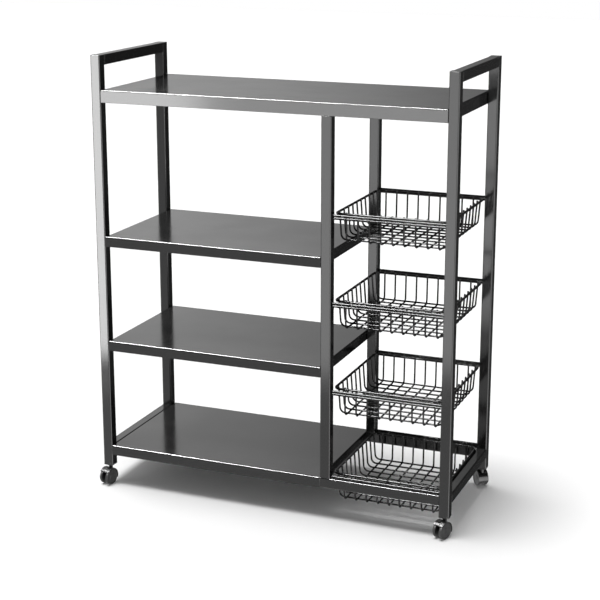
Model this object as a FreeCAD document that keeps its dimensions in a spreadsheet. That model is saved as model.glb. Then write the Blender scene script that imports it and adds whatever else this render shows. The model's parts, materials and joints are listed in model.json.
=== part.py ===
import FreeCAD, Part
import math
import os
import re

import Sketcher

# Rolling kitchen storage rack, in millimetres.
# X runs along the width, Y from the front to the back, Z up.
# The origin is on the floor, under the middle of the rack.

# Driving dimensions
SIZES = [
    # whole rack
    ("width", 900.0),
    ("depth", 350.0),
    ("height", 1075.0),
    # square tube
    ("tube", 25.0),
    ("tube_wall", 1.2),
    ("tube_corner", 3.0),
    ("end_plate", 3.0),
    # levels above the floor
    ("foot_level", 50.0),
    ("base_level", 104.0),
    ("lower_level", 377.0),
    ("upper_level", 640.0),
    # the posts stand this much above the top shelf and carry the handle bars
    ("handle_rise", 81.0),
    # left bay, between the left posts and the centre posts
    ("bay_width", 557.0),
    # folded sheet trays
    ("sheet", 1.2),
    ("bend", 3.0),
    ("lip", 25.0),
    ("top_lip", 30.0),
    ("flange", 20.0),
    # bolts that hold the trays
    ("bolt_radius", 3.0),
    ("bolt_clearance", 0.25),
    ("bolt_grip", 12.0),
    ("bolt_head_width", 10.0),
    ("bolt_head_height", 3.3),
    # rest rods welded between the right posts and the centre posts
    ("rod", 6.0),
    ("rod_inset", 8.0),
    ("rest_level_1", 731.5),
    ("rest_level_2", 525.5),
    ("rest_level_3", 313.2),
    # wire baskets
    ("seat_gap", 0.3),
    ("side_gap", 1.0),
    ("rim_inset", 31.0),
    ("rim_corner", 11.0),
    ("link", 5.0),
    ("link_pitch", 98.0),
    ("wire", 3.5),
    ("floor_drop", 66.5),
    ("wall_bend", 14.5),
    # the first and last wire of a row lie this far in from the rim
    ("long_margin", 23.0),
    ("long_count", 9.0),
    ("long_lean", 1.0),
    ("long_turn", 13.0),
    ("cross_margin", 38.55),
    ("cross_count", 8.0),
    ("cross_lean", 4.5),
    ("cross_turn", 9.5),
    ("cross_bend", 8.0),
    ("end_wire_drop", 49.0),
    # castors
    ("wheel_radius", 20.0),
    ("wheel_width", 7.0),
    ("wheel_wall", 1.4),
    ("running_gap", 0.3),
    ("axle_radius", 2.0),
    ("bore_gap", 0.05),
    ("trail", 10.0),
    ("web", 10.4),
    ("hub_radius", 5.5),
    ("shield_gap", 0.6),
    ("shield_wall", 1.9),
    ("shield_front", 42.0),
    ("shield_drop", 20.0),
    ("boss_radius", 5.0),
    ("boss_foot", 18.0),
    ("stem_pin_radius", 3.0),
    ("stem_pin_foot", 24.0),
    ("stem_radius", 4.0),
    ("stem_length", 20.0),
    ("collar_width", 14.0),
    ("collar_height", 3.7),
    ("plug_flange", 3.0),
    ("plug_depth", 20.0),
    # directions in which the castors trail, in degrees from the X axis
    ("swivel_left_front", 258.9),
    ("swivel_right_front", 248.4),
    ("swivel_left_rear", 62.0),
    ("swivel_right_rear", 128.0),
]

os.makedirs("parts", exist_ok=True)
doc = FreeCAD.newDocument("StorageRack")
V = FreeCAD.Vector
Z_AXIS = V(0, 0, 1)

sheet = doc.addObject("Spreadsheet::Sheet", "Sizes")
for row, (alias, value) in enumerate(SIZES, start=1):
    sheet.set("A%d" % row, alias)
    sheet.set("B%d" % row, str(value))
    sheet.setAlias("B%d" % row, alias)
doc.recompute()

# Each node of the rack: the name of its file and the object that is its shape
nodes = {}

ALIASES = {alias for alias, value in SIZES}

# Points closer than this count as the same place
SAME_PLACE = 1e-6

# A regular hexagon's corner lies this far from its middle, as a share of its width over flats
HEXAGON_CORNER = 1 / math.sqrt(3)

# A mitred corner at 45 degrees loses this share of the bar's width between outside and inside
MITRE_LOSS = 2 - math.sqrt(2)

# A regular octagon: its inner radius and the side of the corner it loses, as shares
OCTAGON_ANGLE = 22.5
OCTAGON = math.cos(math.radians(OCTAGON_ANGLE))
OCTAGON_BEVEL = (1 - math.tan(math.radians(OCTAGON_ANGLE))) / 2


def size(alias):
    """Return one driving dimension as a number."""
    return float(sheet.get(alias))


def bind(thing, path, expression):
    """Tie a property to the spreadsheet; bare words in the expression are aliases."""
    bound = re.sub(r"[A-Za-z_]\w*", lambda w: "Sizes." + w[0] if w[0] in ALIASES else w[0], expression)
    thing.setExpression(path, bound)


# Where things stand, as expressions of the driving dimensions
POST_X = "( width - tube ) / 2"
POST_Y = "( depth - tube ) / 2"
TOP_LEVEL = "( height - handle_rise )"
CENTRE_X = "tube + bay_width + tube / 2 - width / 2"
BAY_MIDDLE_X = "bay_width / 2 + tube - width / 2"
BASKET_BAY = "( width - 3 * tube - bay_width )"
BASKET_X = "width / 2 - tube - " + BASKET_BAY + " / 2"
BASKET_WIDTH = "( width - 3 * tube - bay_width - 2 * side_gap )"
ROD_Y = "( depth / 2 - rod_inset )"
RIM_DEPTH = "( depth - 2 * rod_inset - 2 * rim_inset + rod )"


# Helpers for sketches and features

def origin_plane(body, role):
    """Return one of a body's own origin planes."""
    return [f for f in body.Origin.OriginFeatures if f.Role == role][0]


def new_body(name):
    """Make a body and register it as a node."""
    body = doc.addObject("PartDesign::Body", name)
    body.Label = name
    nodes[name] = body
    return body


def new_sketch(body, name, role="XY_Plane", lift=None):
    """Make a sketch on an origin plane of its body, lifted along the plane's normal."""
    sketch = body.newObject("Sketcher::SketchObject", name)
    sketch.AttachmentSupport = (origin_plane(body, role), "")
    sketch.MapMode = "FlatFace"
    if lift:
        bind(sketch, "AttachmentOffset.Base.z", lift)
    return sketch


def hold(sketch, kind, first, expression):
    """Fix one coordinate of a point from the sketch origin; a leading minus is the far side."""
    geometry, point = first
    if expression == "0":
        axis = -2 if kind == "DistanceX" else -1
        sketch.addConstraint(Sketcher.Constraint("PointOnObject", geometry, point, axis))
        return
    if expression.startswith("-"):
        constraint = Sketcher.Constraint(kind, geometry, point, -1, 1, 1.0)
        expression = expression[1:].strip()
    else:
        constraint = Sketcher.Constraint(kind, -1, 1, geometry, point, 1.0)
    number = sketch.addConstraint(constraint)
    bind(sketch, "Constraints[%d]" % number, expression)


def outline(sketch, points, closed=True):
    """Draw a run of straight lines through points given as pairs of expressions."""
    first = sketch.GeometryCount
    count = len(points)
    # the starting places only need to be apart: the constraints set the real ones
    start = [V(math.cos(k) * (40 + k), math.sin(k) * (40 + k), 0) for k in range(count)]
    sides = count if closed else count - 1
    for k in range(sides):
        sketch.addGeometry(Part.LineSegment(start[k], start[(k + 1) % count]), False)
    for k in range(sides - 1 + int(closed)):
        joined = first + (k + 1) % sides
        sketch.addConstraint(Sketcher.Constraint("Coincident", first + k, 2, joined, 1))
    for k, (across, up) in enumerate(points):
        corner = (first + k, 1) if k < sides else (first + k - 1, 2)
        hold(sketch, "DistanceX", corner, across)
        hold(sketch, "DistanceY", corner, up)


def box_outline(sketch, across, up):
    """Draw a rectangle centred on the sketch origin."""
    half_x = across + " / 2"
    half_y = up + " / 2"
    outline(sketch, [
        ("-" + half_x, "-" + half_y), (half_x, "-" + half_y),
        (half_x, half_y), ("-" + half_x, half_y)])


def beside(place, length, share):
    """Return a place moved by a share of a length, away from the origin if the share is positive."""
    if abs(share) < SAME_PLACE:
        return place
    step = "%s * %.9f" % (length, abs(share))
    if place == "0":
        return "-" + step if share < 0 else step
    return place + (" - " if share < 0 else " + ") + step


def polygon(sketch, sides, across, up, half_width):
    """Draw a regular polygon about a place, its flats square to the axes, given half its width."""
    reach = 1 / math.cos(math.pi / sides)
    points = []
    for k in range(sides):
        angle = math.pi / sides * (2 * k + 1)
        points.append((beside(across, half_width, reach * math.cos(angle)),
                       beside(up, half_width, reach * math.sin(angle))))
    outline(sketch, points)


def octagon(sketch, across, up, half_width):
    """Draw an octagon about a place, its flats square to the axes."""
    polygon(sketch, 8, across, up, half_width)


def feature(body, kind, name, sketch, length, symmetric=False, reverse=False):
    """Add a pad or pocket of a sketch to a body."""
    made = body.newObject("PartDesign::" + kind, name)
    made.Profile = sketch
    if symmetric:
        made.SideType = "Symmetric"
    bind(made, "Length", length)
    made.Reversed = reverse
    return made


def edges_where(shape, test):
    """Name the edges of a shape that pass a test."""
    return ["Edge%d" % (k + 1) for k, edge in enumerate(shape.Edges) if test(edge)]


def is_along(edge, axis, at_least):
    """Say whether an edge is straight, runs along an axis and has at least a length."""
    if edge.Length < at_least or len(edge.Vertexes) != 2:
        return False
    way = edge.Vertexes[1].Point - edge.Vertexes[0].Point
    return abs(abs(way.dot(axis)) - edge.Length) < SAME_PLACE


def is_at(number, level):
    """Say whether a coordinate is at a level."""
    return abs(number - level) < SAME_PLACE


def fillet(body, name, base, edges, radius):
    """Round edges of a feature."""
    made = body.newObject("PartDesign::Fillet", name)
    made.Base = (base, edges)
    bind(made, "Radius", radius)


def chamfer(body, name, base, edges, radius):
    """Cut edges of a feature at 45 degrees, so that the cut touches an arc of the radius."""
    made = body.newObject("PartDesign::Chamfer", name)
    made.Base = (base, edges)
    bind(made, "Size", "( %s ) * %.9f" % (radius, MITRE_LOSS))


def place(thing, x="0", y="0", z="0", axis=None, degrees=None):
    """Put an object at a place given by expressions, turned about an axis."""
    if axis:
        thing.Placement = FreeCAD.Placement(V(0, 0, 0), FreeCAD.Rotation(axis, degrees))
    for letter, expression in (("x", x), ("y", y), ("z", z)):
        if expression != "0":
            bind(thing, "Placement.Base." + letter, expression)


# Square tubes

def square_tube(name, length, end_plate=False, holes=(), hole_side=1, plate_hole=False):
    """Make a square tube that stands on its origin, with an end plate on top if asked.

    holes are heights of bolt holes in the wall on the +X side (hole_side 1) or the -X side.
    """
    body = new_body(name)
    section = new_sketch(body, name + "_section")
    box_outline(section, "tube", "tube")
    bar = feature(body, "Pad", name + "_bar", section, length)
    doc.recompute()
    long_edges = edges_where(bar.Shape, lambda e: is_along(e, Z_AXIS, size("tube") * 2))
    fillet(body, name + "_corners", bar, long_edges, "tube_corner")
    hollow = new_sketch(body, name + "_hollow")
    box_outline(hollow, "( tube - 2 * tube_wall )", "( tube - 2 * tube_wall )")
    depth = length + " - end_plate" if end_plate else length
    cavity = feature(body, "Pocket", name + "_cavity", hollow, depth, reverse=True)
    doc.recompute()
    inside = size("tube") / 2 - size("tube_wall")
    inner_edges = edges_where(cavity.Shape, lambda e: is_along(e, Z_AXIS, size("tube") * 2)
                              and is_at(abs(e.Vertexes[0].X), inside)
                              and is_at(abs(e.Vertexes[0].Y), inside))
    chamfer(body, name + "_inner_corners", cavity, inner_edges, "tube_corner - tube_wall")
    if holes:
        bolt_holes = new_sketch(body, name + "_bolt_holes", "YZ_Plane")
        for height in holes:
            octagon(bolt_holes, "0", height, "bolt_radius")
        feature(body, "Pocket", name + "_bolt_pocket", bolt_holes, "tube", reverse=hole_side > 0)
    if plate_hole:
        top_hole = new_sketch(body, name + "_plate_hole", lift=length)
        octagon(top_hole, "0", "0", "bolt_radius")
        feature(body, "Pocket", name + "_plate_pocket", top_hole, "2 * end_plate")
    return body


LEG_LENGTH = "( height - foot_level - plug_flange )"
LEG_START = "( foot_level + plug_flange )"


def bolt_height(level, lip, start):
    """Return the height of a tray's bolts above the start of a tube."""
    return "( " + level + " - " + lip + " / 2 - " + start + " )"


LEFT_HOLES = [
    bolt_height("base_level", "lip", LEG_START),
    bolt_height("lower_level", "lip", LEG_START),
    bolt_height("upper_level", "lip", LEG_START),
    bolt_height(TOP_LEVEL, "top_lip", LEG_START),
]
RIGHT_HOLES = [bolt_height(TOP_LEVEL, "top_lip", LEG_START)]
CENTRE_HOLES = [
    bolt_height("lower_level", "lip", "base_level"),
    bolt_height("upper_level", "lip", "base_level"),
]

for end, y in (("front", "-" + POST_Y), ("rear", POST_Y)):
    left = square_tube("left_%s_post" % end, LEG_LENGTH, True, LEFT_HOLES, 1)
    place(left, "-" + POST_X, y, LEG_START)
    right = square_tube("right_%s_post" % end, LEG_LENGTH, True, RIGHT_HOLES, -1)
    place(right, POST_X, y, LEG_START)
    centre_length = "( " + TOP_LEVEL + " - top_lip - base_level )"
    centre = square_tube("centre_%s_post" % end, centre_length, True, CENTRE_HOLES, -1, True)
    place(centre, CENTRE_X, y, "base_level")

# Handle bars between the tops of the posts, and side rails between their feet
BAR_LENGTH = "( depth - 2 * tube )"
for side, x in (("left", "-" + POST_X), ("right", POST_X)):
    handle = square_tube("%s_handle_bar" % side, BAR_LENGTH)
    place(handle, x, "tube - depth / 2", "height - tube / 2", V(1, 0, 0), -90)
    rail = square_tube("base_%s_rail" % side, BAR_LENGTH)
    place(rail, x, "tube - depth / 2", "base_level - tube / 2", V(1, 0, 0), -90)

# Base rails under the basket bay: the centre posts stand on their closed left ends
RAIL_LENGTH = "( width - 2 * tube - bay_width )"
for end, y in (("front", "-" + POST_Y), ("rear", POST_Y)):
    rail = square_tube("base_%s_rail" % end, RAIL_LENGTH, True, plate_hole=True)
    place(rail, "width / 2 - tube", y, "base_level - tube / 2", V(0, 1, 0), -90)


# Folded sheet trays

def tray(name, length, lip, level, middle, centre_bolts=False):
    """Make a sheet tray with rounded top edges, lips on four sides and a return flange."""
    body = new_body(name)
    blank = new_sketch(body, name + "_blank")
    box_outline(blank, length, "depth")
    block = feature(body, "Pad", name + "_block", blank, lip)
    doc.recompute()
    top = size(lip)
    upper = edges_where(block.Shape, lambda e: all(is_at(v.Z, top) for v in e.Vertexes))
    fillet(body, name + "_bend", block, upper, "bend")
    inner = new_sketch(body, name + "_inner", lift="sheet")
    box_outline(inner, "( " + length + " - 2 * sheet )", "( depth - 2 * sheet )")
    cavity = feature(body, "Pocket", name + "_cavity", inner, lip + " - 2 * sheet", reverse=True)
    doc.recompute()
    under = top - size("sheet")
    inside = edges_where(cavity.Shape, lambda e: len(e.Vertexes) == 2
                         and all(is_at(v.Z, under) for v in e.Vertexes))
    chamfer(body, name + "_inner_bend", cavity, inside, "bend - sheet")
    opening = new_sketch(body, name + "_opening")
    box_outline(opening, "( " + length + " - 2 * sheet - 2 * flange )",
                "( depth - 2 * sheet - 2 * flange )")
    feature(body, "Pocket", name + "_window", opening, "2 * sheet", reverse=True)
    holes = new_sketch(body, name + "_holes", "YZ_Plane")
    for y in ("-" + POST_Y, POST_Y):
        octagon(holes, y, lip + " / 2", "( bolt_radius + bolt_clearance )")
    feature(body, "Pocket", name + "_bolt_pocket", holes, length + " + tube", symmetric=True)
    if centre_bolts:
        seats = new_sketch(body, name + "_seats")
        for y in ("-" + POST_Y, POST_Y):
            octagon(seats, "( " + CENTRE_X + " )", y, "( bolt_radius + bolt_clearance )")
        feature(body, "Pocket", name + "_seat_pocket", seats, "2 * sheet", reverse=True)
    place(body, middle, "0", level + " - " + lip)


tray("top_shelf", "( width - 2 * tube )", "top_lip", TOP_LEVEL, "0", centre_bolts=True)
for shelf in ("upper", "lower", "base"):
    tray(shelf + "_shelf", "bay_width", "lip", shelf + "_level", BAY_MIDDLE_X)


# Bolts, one node of separate solids

def straight_bar(name, across_flats, length, axis, degrees):
    """Make an eight-sided bar centred on the origin, with its flats square to the axes."""
    bar = doc.addObject("Part::Prism", name)
    bar.Polygon = 8
    bind(bar, "Circumradius", "( %s ) / 2 / %.9f" % (across_flats, OCTAGON))
    bind(bar, "Height", length)
    turn = FreeCAD.Rotation(axis, degrees).multiply(FreeCAD.Rotation(Z_AXIS, OCTAGON_ANGLE))
    bar.Placement = FreeCAD.Placement(V(0, 0, 0), turn)
    return bar


def hexagon_prism(name, across_flats, height):
    """Make an upright six-sided prism on the origin."""
    block = doc.addObject("Part::Prism", name)
    block.Polygon = 6
    bind(block, "Circumradius", "%s * %.9f" % (across_flats, HEXAGON_CORNER))
    bind(block, "Height", height)
    return block


def bolt(name, x, y, z, axis, degrees):
    """Make a hexagon bolt whose head sits on the origin plane and whose shank points up."""
    shank = straight_bar(name + "_shank", "2 * bolt_radius", "bolt_grip", Z_AXIS, 0)
    head = hexagon_prism(name + "_head", "bolt_head_width", "bolt_head_height")
    bind(head, "Placement.Base.z", "-bolt_head_height")
    whole = doc.addObject("Part::Fuse", name)
    whole.Base = shank
    whole.Tool = head
    place(whole, x, y, z, axis, degrees)
    return whole


def group(name, members):
    """Make one node of several separate solids."""
    made = doc.addObject("Part::Compound", name)
    made.Label = name
    made.Links = members
    nodes[name] = made
    return made


bolts = []
TURN_LEFT = (V(0, 1, 0), -90)
TURN_RIGHT = (V(0, 1, 0), 90)
tray_ends = [("top", TOP_LEVEL, "top_lip", "( width / 2 - tube )")]
for shelf in ("upper", "lower", "base"):
    tray_ends.append((shelf, shelf + "_level", "lip", "( tube + bay_width - width / 2 )"))
for shelf, level, lip, right_end in tray_ends:
    up = "%s - %s / 2" % (level, lip)
    for end, y in (("front", "-" + POST_Y), ("rear", POST_Y)):
        name = "%s_%s_bolt" % (shelf, end)
        bolts.append(bolt(name + "_left", "tube + sheet - width / 2", y, up, *TURN_LEFT))
        bolts.append(bolt(name + "_right", right_end + " - sheet", y, up, *TURN_RIGHT))
for end, y in (("front", "-" + POST_Y), ("rear", POST_Y)):
    bolts.append(bolt("centre_%s_bolt" % end, CENTRE_X, y, TOP_LEVEL + " - top_lip + sheet",
                      V(1, 0, 0), 180))
group("shelf_bolts", bolts)


# Rest rods for the three upper baskets

for level in (1, 2, 3):
    for end, y in (("front", "-" + ROD_Y), ("rear", ROD_Y)):
        name = "rest_rod_%d_%s" % (level, end)
        rod = straight_bar(name, "rod", BASKET_BAY, V(0, 1, 0), 90)
        rod.Label = name
        place(rod, "width / 2 - tube - " + BASKET_BAY, y, "rest_level_%d" % level)
        nodes[name] = rod


# Wire baskets: the origin of each is at the middle of its hanging rods

# What the rim's cut corners take off its inner sides
INNER_CUT = "( rim_corner - %.9f * rod )" % MITRE_LOSS


def rim_ring(name):
    """Make the rim of a basket: a ring of rod with cut corners and bevelled edges."""
    body = doc.addObject("PartDesign::Body", name)
    loop = new_sketch(body, name + "_loop", lift="-rod / 2")
    for inward in ("0", "rod"):
        cut = "rim_corner" if inward == "0" else INNER_CUT
        half_x = "( %s / 2 - %s )" % (BASKET_WIDTH, inward)
        half_y = "( %s / 2 - %s )" % (RIM_DEPTH, inward)
        short_x = "( %s - %s )" % (half_x, cut)
        short_y = "( %s - %s )" % (half_y, cut)
        outline(loop, [
            ("-" + short_x, "-" + half_y), (short_x, "-" + half_y),
            (half_x, "-" + short_y), (half_x, short_y),
            (short_x, half_y), ("-" + short_x, half_y),
            ("-" + half_x, short_y), ("-" + half_x, "-" + short_y)])
    pad = feature(body, "Pad", name + "_pad", loop, "rod")
    doc.recompute()
    half = size("rod") / 2
    flat = edges_where(pad.Shape, lambda e: is_at(e.Vertexes[0].Z, e.Vertexes[1].Z)
                       and is_at(abs(e.Vertexes[0].Z), half))
    bevel = body.newObject("PartDesign::Chamfer", name + "_bevel")
    bevel.Base = (pad, flat)
    bind(bevel, "Size", "rod * %.9f" % OCTAGON_BEVEL)
    return body


# A wire's flats face up and down where it lies along the floor, so that crossing wires touch
WIRE_SIDES = 4


def wire_row(body, label, along_y, path, place_across, extent, count):
    """Sweep one wire along its bent path and repeat it across the basket.

    The path starts at the rim. place_across is where the first wire is, on the low side.
    """
    plane = "YZ_Plane" if along_y else "XZ_Plane"
    lift = "-" + place_across if along_y else place_across
    spine = new_sketch(body, label + "_path", plane, lift=lift)
    outline(spine, path, closed=False)
    section = new_sketch(body, label + "_section", lift="rod / 2")
    start = path[0][0]
    first_place = "-" + place_across
    across, up = (first_place, start) if along_y else (start, first_place)
    polygon(section, WIRE_SIDES, across, up, "wire / 2")
    sweep = body.newObject("PartDesign::AdditivePipe", label + "_sweep")
    sweep.Profile = section
    sweep.Spine = (spine, ["Edge%d" % (k + 1) for k in range(len(path) - 1)])
    sweep.Transition = "Right corner"
    doc.recompute()
    row = body.newObject("PartDesign::LinearPattern", label + "_row")
    row.Originals = [sweep]
    axis = "X_Axis" if along_y else "Y_Axis"
    row.Direction = (origin_plane(body, axis), [""])
    bind(row, "Length", extent)
    bind(row, "Occurrences", count)
    body.Tip = row


def bent_path(half, lean, turn, bend, drop):
    """Return the corner points of a wire: rim, wall, floor and back, about the middle."""
    wall = "( %s - %s )" % (half, lean)
    floor = "( %s - %s )" % (half, turn)
    bend_at = "( %s - %s )" % (drop, bend)
    left = [("-" + half, "rod / 2"), ("-" + wall, "-" + bend_at), ("-" + floor, "-" + drop)]
    right = [(floor, "-" + drop), (wall, "-" + bend_at), (half, "rod / 2")]
    return left + right


LONG_HALF = "( " + RIM_DEPTH + " / 2 - rod - wire / 2 )"
CROSS_HALF = "( " + BASKET_WIDTH + " / 2 - rod - wire / 2 )"
# The two end wires stand inside the walls of the long wires
END_Y = "( " + LONG_HALF + " - long_lean - wire )"
# On the inner face of a cut corner, the distances from the basket's two middle lines add up to this
CORNER_REACH = "( " + BASKET_WIDTH + " / 2 + " + RIM_DEPTH + " / 2 - 2 * rod - " + INNER_CUT + " )"
# So the end wires start at the rim's side, or where the cut corner leaves them room
END_HALF = "min( " + CROSS_HALF + "; " + CORNER_REACH + " - wire - " + END_Y + " )"
LONG_PATH = bent_path(LONG_HALF, "long_lean", "long_turn", "wall_bend", "floor_drop")
CROSS_DROP = "( floor_drop - wire )"
CROSS_PATH = bent_path(CROSS_HALF, "cross_lean", "( cross_lean + cross_turn )", "cross_bend", CROSS_DROP)
END_PATH = bent_path(END_HALF, "cross_lean", "( cross_lean + cross_turn )", "cross_bend", "end_wire_drop")


def basket(number, level):
    """Make a basket's rim, its long wires and its cross wires, its rods at a level."""
    prefix = "basket_%d_" % number
    ring = rim_ring(prefix + "ring")
    parts = [ring]
    for end, y in (("front", "-" + ROD_Y), ("rear", ROD_Y)):
        rod = straight_bar(prefix + end + "_rod", "rod", BASKET_WIDTH, V(0, 1, 0), 90)
        place(rod, "-" + BASKET_WIDTH + " / 2", y)
        parts.append(rod)
        start = "-" + ROD_Y + " + rod / 2" if end == "front" else RIM_DEPTH + " / 2"
        for side, x in (("left", "-link_pitch"), ("middle", "0"), ("right", "link_pitch")):
            name = prefix + end + "_" + side + "_link"
            link = straight_bar(name, "link", "( rim_inset - rod )", V(1, 0, 0), -90)
            place(link, x, start)
            parts.append(link)
    rim = group(prefix + "rim", parts)
    long_wires = new_body(prefix + "long_wires")
    long_wires.AllowCompound = True
    spread = "( " + BASKET_WIDTH + " - 2 * long_margin )"
    wire_row(long_wires, prefix + "long", True, LONG_PATH, spread + " / 2", spread, "long_count")
    cross_wires = new_body(prefix + "cross_wires")
    cross_wires.AllowCompound = True
    spread = "( " + RIM_DEPTH + " - 2 * cross_margin )"
    wire_row(cross_wires, prefix + "cross", False, CROSS_PATH, spread + " / 2", spread, "cross_count")
    wire_row(cross_wires, prefix + "end", False, END_PATH, END_Y, "2 * " + END_Y, "2")
    for piece in (rim, long_wires, cross_wires):
        place(piece, BASKET_X, "0", level)


for number in (1, 2, 3):
    basket(number, "rest_level_%d + rod + seat_gap" % number)
basket(4, "base_level + rod / 2 + seat_gap")


# Castors: twin wheels under a hood that swivels on a stem
# Each piece is made about the stem's axis, with the axle at its trail along X.

ROUND_SIDES = 36
SHIELD_IN = "( wheel_radius + shield_gap )"
SHIELD_OUT = "( wheel_radius + shield_gap + shield_wall )"
CORE_OUT = "( wheel_radius + shield_gap + shield_wall / 2 )"
WHEEL_IN = "( web / 2 + running_gap )"
WHEEL_OUT = "( web / 2 + running_gap + wheel_width )"
SHIELD_WIDTH = "( 2 * %s + 2 * running_gap )" % WHEEL_OUT
SECTOR = "( 180 + shield_drop - shield_front )"
BOSS_TOP = "( foot_level - collar_height - running_gap )"
BORE_END = "( %s - wheel_wall )" % WHEEL_OUT
AXLE_HALF = "( %s - running_gap )" % BORE_END


def about_axle(solid, far_side, first_angle=0):
    """Lay an upright solid about the axle; far_side is how far it reaches along Y."""
    turn = FreeCAD.Rotation(V(1, 0, 0), 90).multiply(FreeCAD.Rotation(Z_AXIS, first_angle))
    solid.Placement = FreeCAD.Placement(V(0, 0, 0), turn)
    bind(solid, "Placement.Base.x", "trail")
    bind(solid, "Placement.Base.y", far_side)


def disc(name, radius, width, far_side):
    """Make a many-sided disc about the axle, with one corner at its lowest point."""
    made = doc.addObject("Part::Prism", name)
    made.Polygon = ROUND_SIDES
    bind(made, "Circumradius", radius)
    bind(made, "Height", width)
    about_axle(made, far_side)
    return made


def pin(name, radius, width, far_side):
    """Make a round pin about the axle."""
    made = doc.addObject("Part::Cylinder", name)
    bind(made, "Radius", radius)
    bind(made, "Height", width)
    about_axle(made, far_side)
    return made


def combine(kind, name, base, tool):
    """Join two solids, or cut or keep what the second one covers."""
    made = doc.addObject("Part::" + kind, name)
    made.Base = base
    made.Tool = tool
    return made


def sector(name):
    """Make the part of a cylinder that lies over the hood, from its front edge to its back."""
    made = doc.addObject("Part::Cylinder", name)
    bind(made, "Radius", "2 * " + SHIELD_OUT)
    bind(made, "Height", "2 * " + SHIELD_WIDTH)
    bind(made, "Angle", SECTOR)
    about_axle(made, SHIELD_WIDTH, size("shield_front"))
    return made


def hood(name):
    """Make the hood: shield over the wheels, thick core between them, hub and stem boss."""
    half_width = SHIELD_WIDTH + " / 2"
    outside = disc(name + "_outside", SHIELD_OUT, SHIELD_WIDTH, half_width)
    inside = disc(name + "_inside", SHIELD_IN, "2 * " + SHIELD_WIDTH, SHIELD_WIDTH)
    ring = combine("Cut", name + "_ring", outside, inside)
    shield = combine("Common", name + "_shield", ring, sector(name + "_shield_sector"))
    plate = disc(name + "_plate", CORE_OUT, "web", "web / 2")
    core = combine("Common", name + "_core", plate, sector(name + "_core_sector"))
    hub = disc(name + "_hub", "hub_radius", "web", "web / 2")
    boss = straight_bar(name + "_boss", "2 * boss_radius", BOSS_TOP + " - boss_foot", Z_AXIS, 0)
    bind(boss, "Placement.Base.z", "boss_foot - wheel_radius")
    solid = doc.addObject("Part::MultiFuse", name + "_solid")
    solid.Shapes = [shield, core, hub, boss]
    solid.Refine = True
    bore = doc.addObject("Part::Cylinder", name + "_stem_bore")
    bind(bore, "Radius", "stem_pin_radius + bore_gap")
    bind(bore, "Height", BOSS_TOP + " - stem_pin_foot + running_gap")
    bind(bore, "Placement.Base.z", "stem_pin_foot - running_gap - wheel_radius")
    drilled = combine("Cut", name + "_drilled", solid, bore)
    return combine("Cut", name, drilled, pin(name + "_axle_bore", "axle_radius", "2 * web", "web"))


def wheel(name, side):
    """Make one wheel with a blind bore; side is 1 or -1 along the axle."""
    body = disc(name + "_disc", "wheel_radius", "wheel_width", WHEEL_OUT if side > 0 else "-" + WHEEL_IN)
    bore = pin(name + "_bore", "axle_radius + bore_gap", BORE_END, BORE_END if side > 0 else "0")
    return combine("Cut", name, body, bore)


def stem(name, x, y):
    """Make a castor stem: a plain pin below, a six-sided collar and the threaded shank above."""
    spindle = doc.addObject("Part::Cylinder", name + "_spindle")
    bind(spindle, "Radius", "stem_pin_radius")
    bind(spindle, "Height", "foot_level - stem_pin_foot")
    bind(spindle, "Placement.Base.z", "stem_pin_foot - foot_level")
    collar = hexagon_prism(name + "_collar", "collar_width", "collar_height")
    bind(collar, "Placement.Base.z", "-collar_height")
    shank = straight_bar(name + "_shank", "2 * stem_radius", "stem_length", Z_AXIS, 0)
    whole = doc.addObject("Part::MultiFuse", name)
    whole.Shapes = [spindle, collar, shank]
    place(whole, x, y, "foot_level")
    return whole


def plug(name, x, y):
    """Make the plug in a post's lower end, with the threaded bore for the stem."""
    blocks = []
    outside_corner = size("tube_corner")
    for part, across, radius, height in (
            ("_flange", "tube", outside_corner, "plug_flange"),
            ("_core", "( tube - 2 * tube_wall )", outside_corner - size("tube_wall"),
             "plug_flange + plug_depth")):
        block = doc.addObject("Part::Box", name + part)
        bind(block, "Length", across)
        bind(block, "Width", across)
        bind(block, "Height", height)
        bind(block, "Placement.Base.x", "-" + across + " / 2")
        bind(block, "Placement.Base.y", "-" + across + " / 2")
        doc.recompute()
        upright = [k + 1 for k, e in enumerate(block.Shape.Edges) if is_along(e, Z_AXIS, 1)]
        cut = doc.addObject("Part::Chamfer", block.Name + "_corners")
        cut.Base = block
        cut.Edges = [(k, radius * MITRE_LOSS, radius * MITRE_LOSS) for k in upright]
        blocks.append(cut)
    body = doc.addObject("Part::MultiFuse", name + "_body")
    body.Shapes = blocks
    bore = straight_bar(name + "_bore", "2 * stem_radius", "plug_flange + plug_depth", Z_AXIS, 0)
    whole = doc.addObject("Part::Cut", name)
    whole.Base = body
    whole.Tool = bore
    place(whole, x, y, "foot_level")
    return whole


def stand(piece, x, y, swivel):
    """Put a castor's piece under its post, turned to the direction in which it trails."""
    carrier = doc.addObject("Part::Compound", piece.Name + "_placed")
    carrier.Links = [piece]
    place(carrier, x, y, "wheel_radius", Z_AXIS, swivel)
    carrier.Label = piece.Name
    nodes[piece.Name] = carrier


stems = []
plugs = []
CORNERS = [
    ("left_front", "-" + POST_X, "-" + POST_Y), ("right_front", POST_X, "-" + POST_Y),
    ("left_rear", "-" + POST_X, POST_Y), ("right_rear", POST_X, POST_Y)]
for corner, x, y in CORNERS:
    stems.append(stem(corner + "_stem", x, y))
    plugs.append(plug(corner + "_plug", x, y))
    pieces = [
        hood(corner + "_castor_hood"),
        pin(corner + "_axle", "axle_radius", "2 * " + AXLE_HALF, AXLE_HALF),
        wheel(corner + "_inner_wheel", 1),
        wheel(corner + "_outer_wheel", -1)]
    for piece in pieces:
        stand(piece, x, y, size("swivel_" + corner))
group("castor_stems", stems)
group("post_plugs", plugs)


# Check every object, then write one file for each node

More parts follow.
